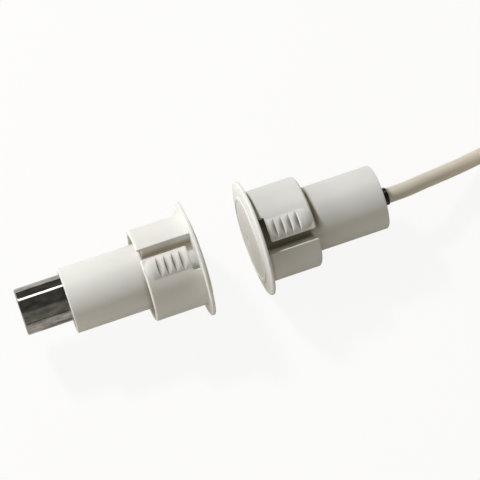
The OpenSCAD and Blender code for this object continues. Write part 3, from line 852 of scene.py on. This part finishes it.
def add_surface(scene, colour):
    """The flat surface. Most of what the camera sees of it is a white glow, so the shadows on
    it are faint."""
    mesh = bpy.data.meshes.new("floor")
    half, z = FLOOR_HALF, SURFACE_Z * MM
    corners = [(-half, -half, z), (half, -half, z), (half, half, z), (-half, half, z)]
    mesh.from_pydata(corners, [], [(0, 1, 2, 3)])
    floor = bpy.data.objects.new("floor", mesh)
    scene.collection.objects.link(floor)
    material, tree, shader = new_material("pale surface")
    connect(tree, shader, {"Base Color": (*colour, 1), "Roughness": 0.9})
    glow = add_node(tree, "Emission")
    path = add_node(tree, "LightPath")
    share = calculate(tree, "MULTIPLY", path.outputs["Is Camera Ray"], FLOOR_GLOW)
    blend = add_node(tree, "MixShader", {"Fac": share, 1: shader.outputs[0], 2: glow.outputs[0]})
    out = next(n for n in tree.nodes if n.type == "OUTPUT_MATERIAL")
    connect(tree, out, {"Surface": blend.outputs[0]})
    paint(floor, material)


class CONTACT_OT_stage(bpy.types.Operator):
    """Camera, lamps, world and the pale surface that both units lie on"""

    bl_idname = "contact.stage"
    bl_label = "Stage"

    def execute(self, context):
        scene = context.scene
        stage = scene.contact_stage
        scene.view_settings.view_transform = "Standard"
        target = Vector(TARGET) * MM
        add_camera(scene, stage, target)
        add_lamp(scene, "key", target, KEY_LAMP, stage.key_power, stage.lamp_colour)
        add_lamp(scene, "left", target, LEFT_LAMP, stage.fill_power, stage.lamp_colour)
        add_world(scene, stage.surroundings)
        add_surface(scene, stage.floor_colour)
        return {"FINISHED"}


class CONTACT_OT_cable(bpy.types.Operator):
    """Cable from the switch unit to its hank and bare end, with its ties and conductors"""

    bl_idname = "contact.cable"
    bl_label = "Cable"

    def execute(self, context):
        scene = context.scene
        jacket = moulded("cable jacket", scene.contact_colours.jacket, roughness=0.5, grain=1500)
        line = cable_line() * MM
        data = bpy.data.curves.new("cable", "CURVE")
        data.dimensions = "3D"
        data.bevel_depth = CABLE_D / 2 * MM
        data.bevel_resolution = 6
        data.use_fill_caps = True
        spline = data.splines.new("POLY")
        spline.points.add(len(line) - 1)
        spline.points.foreach_set("co", np.column_stack([line, np.ones(len(line))]).ravel())
        cable = bpy.data.objects.new("cable", data)
        scene.collection.objects.link(cable)
        paint(cable, jacket)
        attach(cable, "switch_unit")
        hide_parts("cable_run", "cable_hank", "cable_tail")
        red = moulded("red insulation", (0.45, 0.03, 0.02), roughness=0.4)
        white = moulded("white insulation", (0.75, 0.74, 0.7), roughness=0.4)
        copper = bright_metal("bare copper", (0.75, 0.38, 0.22), roughness=0.25)
        paint_nodes(jacket, "cable_entry")
        paint_nodes(woven("woven tie", (0.022, 0.022, 0.024)), "hank_tie_a", "hank_tie_b")
        paint_nodes(red, "tail_core_a", "core_front")
        paint_nodes(white, "tail_core_b", "core_rear")
        paint_nodes(copper, "tail_copper_a", "tail_copper_b")
        return {"FINISHED"}


class CONTACT_OT_housings(bpy.types.Operator):
    """The two moulded housings"""

    bl_idname = "contact.housings"
    bl_label = "Housings"

    def execute(self, context):
        colours, sizes = context.scene.contact_colours, context.scene.contact_sizes
        switch = moulded("switch unit plastic", colours.switch_grey)
        # Painted shade in the crevices, on the barrel past the wings' upper side and in a line of
        # painted flange shadow; on the teeth, painted shade on the slow sides and a painted
        # highlight on the steep faces; painted light on the front
        paint_light_and_shade(
            switch, {"Seat": 0, "Direction": 1, "Side": (0, 0.34, 0.94), "Reach": 2.3,
                     "Seam": 0.85, "Open": 0},
            deep=(0.42, 0.37, 0.28), slow=(0.3, 0.28, 0.245), steep=(1.3, 1.29, 1.27))
        add_housing("switch_shell", "switch_unit", "switch_housing", SWITCH_CLOCK,
                    in_switch_unit, switch, sizes)
        magnet = moulded("magnet unit plastic", colours.magnet_white, scatter=0.2)
        # Lighter, warmer painted shade in the crevices and on the barrel past the wings' lower
        # side, none in the notch there; on the teeth, faint painted shade on the slow sides and
        # dark painted shade on the steep faces; painted light on the front
        paint_light_and_shade(
            magnet, {"Seat": MAGNET_SEAT_X, "Direction": -1, "Side": (0, -0.98, 0.17),
                     "Reach": 1.1, "Seam": 0, "Open": 1},
            deep=(0.8, 0.71, 0.61), slow=(0.8, 0.78, 0.74), steep=(0.12, 0.11, 0.095))
        add_housing("magnet_shell", "magnet_unit", "magnet_housing", MAGNET_CLOCK,
                    in_magnet_unit, magnet, sizes)
        return {"FINISHED"}


class CONTACT_OT_insides(bpy.types.Operator):
    """Magnet rod, adhesive, potting compound, reed capsule and ferrules"""

    bl_idname = "contact.insides"
    bl_label = "Insides"

    def execute(self, context):
        rod = revolved(rounded([
            (0, 0, 0), (ROD_R, 0, 0.1), (ROD_R, ROD_LEN - ROD_CHAMFER, 0.15),
            (ROD_R - ROD_CHAMFER, ROD_LEN, 0.15), (0, ROD_LEN, 0),
        ]))
        clock = math.radians(ROD_CLOCK)
        off = ROD_OFF * np.array([math.cos(clock), math.sin(clock)])
        rod[0][:, :2] += off
        metal = bright_metal(
            "magnet rod", context.scene.contact_colours.magnet_metal, roughness=0.07,
            streaks=0.04, tone=0.5, end=(MAGNET_SEAT_X - ROD_LEN, off[1], off[0]))
        add_piece("magnet_rod_bright", "magnet_unit", [in_magnet_unit(rod)], metal, "magnet_rod")
        epoxy = moulded("black epoxy", (0.012, 0.012, 0.013), roughness=0.2, grain=900, bump=0.05)
        steel = bright_metal("nickel iron", (0.55, 0.53, 0.5), roughness=0.2)
        tinned = bright_metal("tinned ferrule", (0.66, 0.65, 0.63), roughness=0.3)
        glass, tree, shader = new_material("reed glass")
        connect(tree, shader, {
            "Transmission Weight": 1, "Roughness": 0.02, "Base Color": (0.75, 0.9, 0.75, 1),
            "IOR": 1.5,
        })
        paint_nodes(epoxy, "magnet_adhesive", "potting")
        paint_nodes(steel, "reed_lead_front", "reed_lead_rear", "reed_blade_front",
                    "reed_blade_rear")
        paint_nodes(tinned, "splice_front", "splice_rear")
        paint_nodes(glass, "reed_glass")
        return {"FINISHED"}


class CONTACT_PT_panel(bpy.types.Panel):
    """Lists the pieces and the sizes and colours behind them"""

    bl_label = "Magnetic contact"
    bl_idname = "CONTACT_PT_panel"
    bl_space_type = "VIEW_3D"
    bl_region_type = "UI"
    bl_category = "Contact"

    def draw(self, context):
        scene = context.scene
        for group in (scene.contact_colours, scene.contact_sizes, scene.contact_stage):
            for name in group.__annotations__:
                self.layout.prop(group, name)
        for operator in STEPS:
            self.layout.operator(operator.bl_idname)


STEPS = (CONTACT_OT_stage, CONTACT_OT_cable, CONTACT_OT_housings, CONTACT_OT_insides)
CLASSES = (ContactColours, ContactSizes, ContactStage, *STEPS, CONTACT_PT_panel)


def register():
    for cls in CLASSES:
        bpy.utils.register_class(cls)
    bpy.types.Scene.contact_colours = bpy.props.PointerProperty(type=ContactColours)
    bpy.types.Scene.contact_sizes = bpy.props.PointerProperty(type=ContactSizes)
    bpy.types.Scene.contact_stage = bpy.props.PointerProperty(type=ContactStage)


def unregister():
    del bpy.types.Scene.contact_colours
    del bpy.types.Scene.contact_sizes
    del bpy.types.Scene.contact_stage
    for cls in reversed(CLASSES):
        bpy.utils.unregister_class(cls)


def main():
    register()
    bpy.ops.contact.stage()
    bpy.ops.contact.cable()
    bpy.ops.contact.housings()
    bpy.ops.contact.insides()


if __name__ == "__main__":
    main()
